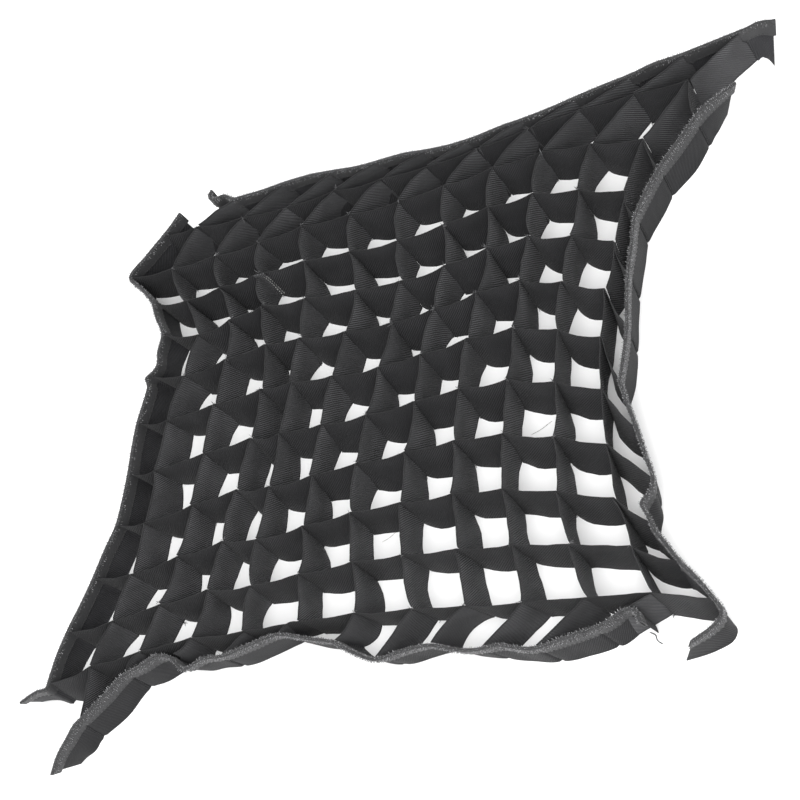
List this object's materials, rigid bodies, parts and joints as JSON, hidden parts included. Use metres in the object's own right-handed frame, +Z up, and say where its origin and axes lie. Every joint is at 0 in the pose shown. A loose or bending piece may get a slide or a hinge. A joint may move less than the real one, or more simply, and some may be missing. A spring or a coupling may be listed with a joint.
{
  "type": "softbox grid",
  "caption": "Fabric egg-crate grid of ribbons on edge, slit together, with hook tape on its border bands; it clips into a square softbox and narrows the spread of its light.",
  "frame": {"origin": "on the surface that the grid lies on, under the middle of its box", "axes": "+X along the row ribbons, +Y along the column ribbons, +Z up through the cells"},
  "size_m": [0.5972, 0.6572, 0.0412],
  "materials": {
    "grid_ribbon": "matt black woven polyester ribbon with fine cross ribs",
    "border_ribbon": "matt black woven polyester ribbon, a little greyer where it faces the light",
    "hook_tape": "black hook tape, rough with small nylon hooks that catch the light"
  },
  "bodies": {
    "grid": {"back_border": "border_ribbon", "back_hook_tape": "hook_tape", "column_ribbon_01": "grid_ribbon", "column_ribbon_02": "grid_ribbon", "column_ribbon_03": "grid_ribbon", "column_ribbon_04": "grid_ribbon", "column_ribbon_05": "grid_ribbon", "column_ribbon_06": "grid_ribbon", "column_ribbon_07": "grid_ribbon", "column_ribbon_08": "grid_ribbon", "column_ribbon_09": "grid_ribbon", "column_ribbon_10": "grid_ribbon", "column_ribbon_11": "grid_ribbon", "front_border": "border_ribbon", "front_hook_tape": "hook_tape", "left_border": "border_ribbon", "left_hook_tape": "hook_tape", "right_border": "border_ribbon", "right_hook_tape": "hook_tape", "row_ribbon_01": "grid_ribbon", "row_ribbon_02": "grid_ribbon", "row_ribbon_03": "grid_ribbon", "row_ribbon_04": "grid_ribbon", "row_ribbon_05": "grid_ribbon", "row_ribbon_06": "grid_ribbon", "row_ribbon_07": "grid_ribbon", "row_ribbon_08": "grid_ribbon", "row_ribbon_09": "grid_ribbon", "row_ribbon_10": "grid_ribbon", "row_ribbon_11": "grid_ribbon"},
    "front_left_tail": {"front_border_left_tail": "border_ribbon", "front_hook_tape_left_tail": "hook_tape"},
    "front_right_tail": {"front_border_right_tail": "border_ribbon", "front_hook_tape_right_tail": "hook_tape"},
    "back_left_tail": {"back_border_left_tail": "border_ribbon", "back_hook_tape_left_tail": "hook_tape"},
    "back_right_tail": {"back_border_right_tail": "border_ribbon", "back_hook_tape_right_tail": "hook_tape"},
    "left_front_tail": {"left_border_front_tail": "border_ribbon", "left_hook_tape_front_tail": "hook_tape"},
    "left_back_tail": {"left_border_back_tail": "border_ribbon", "left_hook_tape_back_tail": "hook_tape"},
    "right_front_tail": {"right_border_front_tail": "border_ribbon", "right_hook_tape_front_tail": "hook_tape"},
    "right_back_tail": {"right_border_back_tail": "border_ribbon", "right_hook_tape_back_tail": "hook_tape"}
  },
  "joints": [
    {"name": "front_left_tail_fold", "type": "hinge", "parent": "grid", "child": "front_left_tail", "pos_m": [-0.23862, -0.28641, 0.02], "axis": [0, 0, 1], "range_deg": [-45, 75]},
    {"name": "front_right_tail_fold", "type": "hinge", "parent": "grid", "child": "front_right_tail", "pos_m": [0.19763, -0.191, 0.02], "axis": [0, 0, 1], "range_deg": [-75, 0]},
    {"name": "back_left_tail_fold", "type": "hinge", "parent": "grid", "child": "back_left_tail", "pos_m": [-0.19697, 0.18776, 0.02], "axis": [0, 0, 1], "range_deg": [-60, 4]},
    {"name": "back_right_tail_fold", "type": "hinge", "parent": "grid", "child": "back_right_tail", "pos_m": [0.24861, 0.32112, 0.02], "axis": [0, 0, 1], "range_deg": [-60, 90]},
    {"name": "left_front_tail_fold", "type": "hinge", "parent": "grid", "child": "left_front_tail", "pos_m": [-0.27395, -0.25709, 0.02], "axis": [0, 0, 1], "range_deg": [-40, 40]},
    {"name": "left_back_tail_fold", "type": "hinge", "parent": "grid", "child": "left_back_tail", "pos_m": [-0.25808, 0.15814, 0.02], "axis": [0, 0, 1], "range_deg": [-15, 90]},
    {"name": "right_front_tail_fold", "type": "hinge", "parent": "grid", "child": "right_front_tail", "pos_m": [0.28881, -0.16999, 0.02], "axis": [0, 0, 1], "range_deg": [-30, 75]},
    {"name": "right_back_tail_fold", "type": "hinge", "parent": "grid", "child": "right_back_tail", "pos_m": [0.21683, 0.24419, 0.02], "axis": [0, 0, 1], "range_deg": [-80, 18]}
  ]
}
